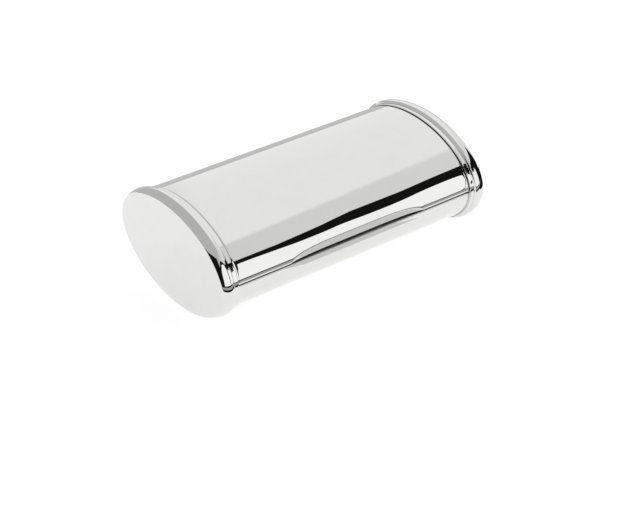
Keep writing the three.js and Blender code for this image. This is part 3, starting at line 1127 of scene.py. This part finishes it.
@dataclass
class Pivots:
    """The fixed parts round each pin: the pin, its spacer, washer and dome nut, and the lid's stop."""

    cheek_x: float = 189.3 * MM
    plate_x: float = 200.3 * MM
    plate: float = 1.2 * MM
    pin_radius: float = 4 * MM
    pin_chamfer: float = 0.6 * MM
    head_radius: float = 7 * MM
    washer: float = 1.2 * MM
    nut_radius: float = 7 * MM
    nut_thickness: float = 4.6 * MM
    dome_radius: float = 5.4 * MM
    dome_height: float = 4 * MM
    stop_radius: float = 4 * MM
    stop_neck: float = 2 * MM

    def ring(self, inner: float, outer: float, start: float, end: float) -> list[Pair]:
        """The closed outline of a plain ring."""
        return [(inner, start), (outer, start), (outer, end), (inner, end), (inner, start)]

    def nut(self, end: End, face: float) -> bpy.types.Object:
        """Make one dome nut.

        Args:
            end: The piece's end.
            face: The x of its face against the washer.

        Returns:
            The nut.
        """
        bm = bmesh.new()
        radius, thick = self.nut_radius, self.nut_thickness
        bmesh.ops.create_cone(
            bm, cap_ends=True, segments=6, radius1=radius, radius2=radius, depth=thick,
            matrix=Matrix.Translation((face - thick / 2, *OVAL.pivot)) @ Matrix.Rotation(math.pi / 2, 4, "Y"),
        )
        base = face - 4.2 * MM
        wide, high = self.dome_radius, self.dome_height
        dome = [(0.0, base - high)]
        dome += [
            (wide * math.sin(math.radians(a)), base - high * math.cos(math.radians(a)))
            for a in range(10, 91, 10)
        ]
        dome += [(0.0, base)]
        spin_about_x(bm, dome, 48, *OVAL.pivot)
        face_outwards(bm)
        mirrored(bm, end)
        piece = new_bmesh_object(bm, end.of("nut"), smooth=False)
        round_edges(piece, 0.35 * MM, 35)
        return piece

    def stop_place(self) -> Pair:
        """The (y, z) of the open stop, from the middle of its node's box."""
        low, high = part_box("right_open_stop")
        return (low[1] + high[1]) / 2, (low[2] + high[2]) / 2

    def build(self, paint: Paint) -> None:
        """Build the pivots' fixed parts and dress them.

        Args:
            paint: The finishes.
        """
        r, chamfer, wide = self.pin_radius, self.pin_chamfer, self.head_radius
        back = self.plate_x + self.plate
        spacer_x = self.cheek_x + 2 * MM
        washer_x = self.cheek_x - 1.6 * MM - GAP - self.washer
        nut_x = washer_x - GAP
        tip = nut_x - 3.4 * MM
        head = back + GAP
        pin = [(0.0, tip), (r - chamfer, tip), (r, tip + chamfer), (r, head), (wide, head)]
        pin += [(wide, head + 1.4 * MM), (wide - 1.5 * MM, head + 2.2 * MM), (0.0, head + 2.2 * MM)]
        stop_r, neck = self.stop_radius, self.stop_neck
        start = self.cheek_x - 1 * MM
        stop = [(0.0, start), (stop_r - 1 * MM, start), (stop_r - 0.3 * MM, start + 0.3 * MM)]
        stop += [(stop_r, start + 1 * MM), (stop_r, self.plate_x - GAP), (neck, self.plate_x - GAP)]
        stop += [(neck, back + 1.5 * MM), (0.0, back + 1.5 * MM)]
        rings = {
            "spacer": (Finish.NYLON, self.ring(r + GAP, 8 * MM, spacer_x, self.plate_x - GAP), 0.4 * MM),
            "washer": (Finish.ZINC, self.ring(r + GAP, 9 * MM, washer_x, washer_x + self.washer), 0.2 * MM),
            "pin": (Finish.ZINC, pin, 0.15 * MM),
        }
        for end in End:
            for part, (finish, profile, edge) in rings.items():
                piece = turned(end, part, profile, OVAL.pivot, edge)
                paint.place(piece, finish, "box", end.of(f"pivot_{part}"))
            paint.place(self.nut(end, nut_x), Finish.ZINC, "box", end.of("pivot_nut"))
            piece = turned(end, "stop", stop, self.stop_place(), 0.15 * MM)
            paint.place(piece, Finish.RUBBER, "box", end.of("open_stop"))


# ---- feet and bumpers ----------------------------------------------------------------------------


@dataclass
class Feet:
    """The rubber feet with their screws, and the rubber dots that the closed lid rests on."""

    x: float = 150 * MM
    y: float = 40 * MM
    screw_radius: float = 1.7 * MM
    height: float = 19 * MM
    radius: float = 9 * MM
    edge_round: float = 1 * MM
    taper: float = 0.095
    bumper_set_in: float = 7.5 * MM
    bumper_rise: float = 4.9 * MM
    bumper_radius: float = 3.6 * MM
    bumper_height: float = 0.8 * MM

    def foot(self, name: str, x: float, y: float) -> bpy.types.Object:
        """Make one foot, its top following the floor's curve.

        Args:
            name: The piece's name.
            x: The foot's x.
            y: The foot's y.

        Returns:
            The foot.
        """
        tip, small = self.height, self.edge_round
        flat = self.radius - small
        outline = [(0.0, 0.0), (5.2 * MM, 0.0), (5.6 * MM, 0.5 * MM), (6.2 * MM, 0.5 * MM), (6.6 * MM, 0.0)]
        outline += [(flat, 0.0)] + [
            (flat + small * math.sin(math.radians(a)), small - small * math.cos(math.radians(a)))
            for a in (22, 45, 68, 90)
        ]
        outline += [(self.radius + (z - small) * self.taper, z) for z in spaced(4 * MM, tip, 3 * MM)]
        widest = self.radius + (tip - small) * self.taper
        outline += [(widest, tip), (widest * 0.66, tip), (widest * 0.33, tip), (0.0, tip)]
        bm = bmesh.new()
        spin_upright(bm, outline, 56, (x, y, 0))
        for vert in bm.verts:
            surface = OVAL.floor_at(vert.co.y, BODY_INSET - GAP)
            if vert.co.z > tip - 0.1 * MM:
                vert.co.z = surface
            else:
                vert.co.z = min(vert.co.z, surface - 0.2 * MM)
        face_outwards(bm)
        return new_bmesh_object(bm, name, smooth=False)

    def build(self, paint: Paint) -> None:
        """Build the feet, their screws and the bumpers, and dress them.

        Args:
            paint: The finishes.
        """
        for row, sign_y in (("front", -1), ("back", 1)):
            for end in End:
                x, y = end.value * self.x, sign_y * self.y
                where = f"{row}_{end.name.lower()}"
                paint.place(self.foot(f"{where}_rubber", x, y), Finish.RUBBER, "box", f"{where}_foot")
                screw = pan_screw(f"{where}_foot_fixing", 3.6 * MM, 2.1 * MM, self.screw_radius, 11 * MM)
                rise = OVAL.floor_at(y, BODY_INSET) - OVAL.centre_z
                ratio = (OVAL.half_height - BODY_INSET) / (OVAL.half_depth - BODY_INSET)
                turn = Matrix.Rotation(math.atan(-(ratio**2) * y / rise), 4, "X")
                move = Matrix.Translation((x, y, OVAL.centre_z + rise))
                screw.data.transform(move @ turn @ Matrix.Translation((0, 0, SHEET + GAP)))
                paint.place(screw, Finish.ZINC, "box", f"{where}_foot_screw")
        for end in End:
            piece = self.bumper(end.of("bumper"), end.value * self.x)
            paint.place(piece, Finish.RUBBER, "box", end.of("front_bumper"))

    def bumper(self, name: str, x: float) -> bpy.types.Object:
        """Make one low rubber dot on the front ledge.

        Args:
            name: The piece's name.
            x: The dot's x.

        Returns:
            The dot.
        """
        low = OVAL.centre_z + self.bumper_rise
        wide, high = self.bumper_radius, self.bumper_height
        outline = [(0.0, 0.0), (wide, 0.0), (wide, 0.2 * MM), (wide - 0.3 * MM, 0.55 * MM)]
        outline += [(wide - 1 * MM, high - 0.04 * MM), (1.4 * MM, high), (0.0, high)]
        bm = bmesh.new()
        spin_upright(bm, outline, 40, (x, -OVAL.half_depth + self.bumper_set_in, low))
        face_outwards(bm)
        return new_bmesh_object(bm, name)


# ---- studio --------------------------------------------------------------------------------------


@dataclass(frozen=True)
class Stand:
    """An upright plane in front of the box, in which cards are drawn.

    Attributes:
        heading: Its direction from the box, in degrees from the front towards the right.
        distance: How far away it stands.
    """

    heading: float
    distance: float

    def place(self, across: float, height: float) -> Vector:
        """The point of the plane at a distance across it and a height above the table."""
        angle = math.radians(self.heading)
        out = Vector((math.sin(angle), -math.cos(angle), 0))
        aside = Vector((math.cos(angle), math.sin(angle), 0))
        return out * self.distance + aside * across + Vector((0, 0, height))


def card(name: str, outline: Sequence[Vector], glow: float) -> None:
    """Make a studio card that only reflections see.

    Args:
        name: Its name.
        outline: Its corners, in order.
        glow: Its brightness.
    """
    bm = bmesh.new()
    chain(bm, outline, closed=True)
    bmesh.ops.triangle_fill(bm, use_beauty=True, use_dissolve=False, edges=list(bm.edges))
    sheet = new_bmesh_object(bm, name, smooth=False)
    mat = bpy.data.materials.new(name)
    mat.use_nodes = True
    tree = mat.node_tree
    tree.nodes.clear()
    light = add_node(tree, "ShaderNodeEmission", {"Color": (1, 1, 1, 1), "Strength": glow})
    add_node(tree, "ShaderNodeOutputMaterial", {"Surface": light.outputs[0]})
    sheet.data.materials.append(mat)
    sheet.visible_camera = False
    sheet.visible_diffuse = False
    sheet.visible_shadow = False


def rounded(points: Sequence[Pair], radii: Sequence[float], steps: int = 6) -> list[Pair]:
    """Round the corners of an outline.

    Args:
        points: The corners.
        radii: How far from each corner its round starts.
        steps: Segments in each round.

    Returns:
        The rounded outline.
    """
    made: list[Pair] = []
    for i, (here, reach) in enumerate(zip(points, radii)):
        before, after = Vector(points[i - 1]), Vector(points[(i + 1) % len(points)])
        corner = Vector(here)
        if reach == 0:
            made.append((corner.x, corner.y))
            continue
        start = corner + (before - corner).normalized() * reach
        end = corner + (after - corner).normalized() * reach
        for j in range(steps + 1):
            t = j / steps
            spot = start * (1 - t) ** 2 + corner * (2 * t * (1 - t)) + end * t**2
            made.append((spot.x, spot.y))
    return made


@dataclass
class Studio:
    """The pale floor, the tent of soft light with its black and white cards, and the camera."""

    floor_size: float = 14.0
    floor_glow: float = 0.78
    camera_azimuth: float = -36.73
    camera_elevation: float = 33.31
    camera_distance: float = 2.236
    lens_mm: float = 90.6
    black: float = 0.008
    white: float = 1.15
    soft_edge: tuple[float, float, float] = (-0.617, 0.643, 0.454)
    edge_softness: float = 0.035

    def floor(self) -> None:
        """Lay the floor: a pale sheet lit a little from below, as on a light table."""
        bm = bmesh.new()
        bmesh.ops.create_grid(bm, x_segments=1, y_segments=1, size=self.floor_size / 2)
        sheet = new_bmesh_object(bm, "pale_floor", smooth=False)
        mat = bpy.data.materials.new("pale_floor")
        mat.use_nodes = True
        shader = mat.node_tree.nodes["Principled BSDF"]
        shader.inputs["Base Color"].default_value = (0.42, 0.42, 0.42, 1)
        shader.inputs["Roughness"].default_value = 1.0
        shader.inputs["Specular IOR Level"].default_value = 0.0
        shader.inputs["Emission Color"].default_value = (1, 1, 1, 1)
        shader.inputs["Emission Strength"].default_value = self.floor_glow
        sheet.data.materials.append(mat)

    def tent(self) -> None:
        """Light the scene with a soft tent: brightest above right, greyer to the left and low in front."""
        world = bpy.data.worlds.new("studio_tent")
        bpy.context.scene.world = world
        world.use_nodes = True
        tree = world.node_tree
        tree.nodes.clear()
        way = add_node(tree, "ShaderNodeTexCoord").outputs["Generated"]
        rightward = add_node(tree, "ShaderNodeSeparateXYZ", {"Vector": way}).outputs["X"]
        above = spread(tree, rightward, (0.56, 1.0), (0.36, 0.45))
        in_front = spread(tree, rightward, (0.76, 0.88), (0.38, 0.7))
        beyond = add_node(tree, "ShaderNodeVectorMath", {0: way, 1: self.soft_edge}, operation="DOT_PRODUCT")
        soft = (-self.edge_softness, self.edge_softness)
        share = spread(tree, beyond.outputs["Value"], (0.0, 1.0), soft, interpolation_type="SMOOTHSTEP")
        strength = add_node(tree, "ShaderNodeMix", {0: share, 2: in_front, 3: above}, data_type="FLOAT")
        white = {"Color": (1, 1, 1, 1)}
        room = add_node(tree, "ShaderNodeBackground", white | {"Strength": strength.outputs[0]})
        plain = add_node(tree, "ShaderNodeBackground", white | {"Strength": 1.0})
        seen = add_node(tree, "ShaderNodeLightPath").outputs["Is Camera Ray"]
        both = add_node(tree, "ShaderNodeMixShader", {0: seen, 1: room.outputs[0], 2: plain.outputs[0]})
        add_node(tree, "ShaderNodeOutputWorld", {"Surface": both.outputs[0]})

    def cards(self) -> None:
        """Stand the black flags and white cards in front, and lay dark and grey sheets on the floor, one of
        them painted shade just in front of the box.
        """
        near, far, side = Stand(38, 1.28), Stand(38, 1.30), Stand(-45, 1.6)
        middle = [
            (0.02, 0.03), (0.055, 0.29), (0.150, 0.68), (0.173, 0.78), (0.06, 0.76), (-0.01, 0.71),
            (-0.07, 0.74), (-0.12, 0.81), (-0.16, 0.78), (-0.22, 0.80), (-0.327, 1.02), (-0.39, 0.80),
            (-0.46, 0.56), (-0.54, 0.03),
        ]
        middle = rounded(middle, [0, 0, 0, 0.09, 0.03, 0.03, 0.02, 0.03, 0.02, 0.03, 0.07, 0, 0, 0])
        left = [
            (-0.64, 0.06), (-0.60, 0.56), (-0.52, 1.10), (-0.60, 1.55), (-1.34, 2.05), (-2.30, 2.00),
            (-2.70, 1.60), (-2.70, 0.06),
        ]
        left = rounded(left, [0.04, 0, 0, 0.2, 0.1, 0.3, 0.2, 0.1])
        right = [(0.025, 0.03), (0.062, 0.29), (0.165, 0.66), (0.30, 0.80), (0.44, 0.60), (0.40, 0.03)]
        black = [
            (2.2, 0.0), (2.2, 1.10), (1.2, 1.15), (0.45, 1.18), (0.32, 1.22), (0.21, 1.21), (0.12, 1.31),
            (-0.05, 1.21), (-0.15, 1.19), (-0.26, 1.27), (-0.60, 1.80), (-1.20, 2.60), (-3.2, 2.90),
            (-3.2, 0.0),
        ]
        black_side = [(0.42, 0), (0.42, 2.5), (-1.6, 2.0), (-1.6, 0)]
        for name, stand, outline, glow in (
            ("white_card", near, middle, self.white),
            ("left_white_card", near, left, self.white),
            ("right_white_card", near, right, self.white),
            ("black_flag", far, black, self.black),
            ("black_side_flag", side, black_side, self.black),
        ):
            card(name, [stand.place(across, height) for across, height in outline], glow)
        for name, (left, right), (front, back), glow in (
            ("black_floor_strip", (-1.3, 1.6), (-0.50, -0.36), self.black),
            ("grey_floor_strip", (-1.6, 1.8), (-0.98, -0.50), 0.42),
            ("black_far_strip", (-1.8, 2.0), (-1.9, -0.98), self.black),
            ("black_right_sheet", (0.42, 2.2), (-0.36, 0.05), self.black),
            ("grey_back_sheet", (-0.12, 7.0), (0.22, 7.0), 0.60),
            # Painted shade: this grey sheet just in front of the box is seen only in reflections. It darkens
            # the floor that the finger recess reflects, as the box's shadow would.
            ("front_floor_shade_sheet", (-0.03, 0.175), (-0.36, -0.197), 0.72),
        ):
            corners = ((left, front), (right, front), (right, back), (left, back))
            card(name, [Vector((x, y, 2 * MM)) for x, y in corners], glow)

    def camera(self) -> None:
        """Aim the camera at the box."""
        azimuth, elevation = math.radians(self.camera_azimuth), math.radians(self.camera_elevation)
        level = math.cos(elevation)
        back = Vector((math.sin(azimuth) * level, -math.cos(azimuth) * level, math.sin(elevation)))
        right = Vector((math.cos(azimuth), math.sin(azimuth), 0))
        up = back.cross(right)
        focal = self.lens_mm / 36
        # The box's middle sits a little left of and above the picture's middle, in parts of its width.
        off = (-0.0235, 0.0835)
        aim = Vector((0, 0, OVAL.centre_z))
        place = aim - self.camera_distance * (off[0] / focal * right + off[1] / focal * up - back)
        data = bpy.data.cameras.new("studio_camera")
        data.lens = self.lens_mm
        data.sensor_width = 36
        camera = bpy.data.objects.new("studio_camera", data)
        bpy.context.scene.collection.objects.link(camera)
        turn = Matrix((right, up, back)).transposed().to_4x4()
        camera.matrix_world = Matrix.Translation(place) @ turn
        bpy.context.scene.camera = camera

    def build(self) -> None:
        """Set the scene up."""
        self.floor()
        self.tent()
        self.cards()
        self.camera()
        bpy.context.scene.view_settings.view_transform = "Standard"


def write_sizes() -> None:
    """Bring the scene's placements up to date.
    """
    bpy.context.view_layer.update()


def main() -> None:
    """Build the whole scene in order."""
    logging.basicConfig(level=logging.INFO, format="%(name)s: %(message)s")
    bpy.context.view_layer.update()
    Studio().build()
    paint = Paint()
    for assembly in (Lid(), Body(), Ends(), Pivots(), Feet()):
        assembly.build(paint)
    write_sizes()


if __name__ == "__main__":
    main()
